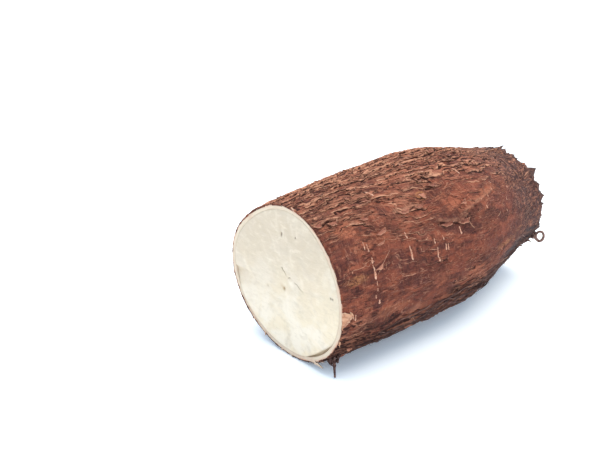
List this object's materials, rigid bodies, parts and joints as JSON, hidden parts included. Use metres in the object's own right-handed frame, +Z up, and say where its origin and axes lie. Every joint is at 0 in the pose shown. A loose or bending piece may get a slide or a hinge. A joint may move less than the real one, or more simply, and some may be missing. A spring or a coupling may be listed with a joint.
{
  "type": "cut section of cassava root",
  "caption": "Thick cut length of raw cassava root, barrel-shaped and tapering, with a clean white cut face and a ragged narrow end.",
  "frame": {"origin": "under the middle of the root's box, on the surface it lies on", "axes": "+X along the root from its clean cut face to its narrow broken end, +Z up"},
  "size_m": [0.1544, 0.08, 0.0773],
  "materials": {
    "skin": "matt reddish-brown bark-like skin, ridged and flaking",
    "flesh": "dense starchy white flesh, fresh cut, slightly moist",
    "rind": "thin pale inner rind between skin and flesh, pinkish at its outer edge"
  },
  "bodies": {
    "root": {"cassava_root": "skin"}
  },
  "joints": []
}
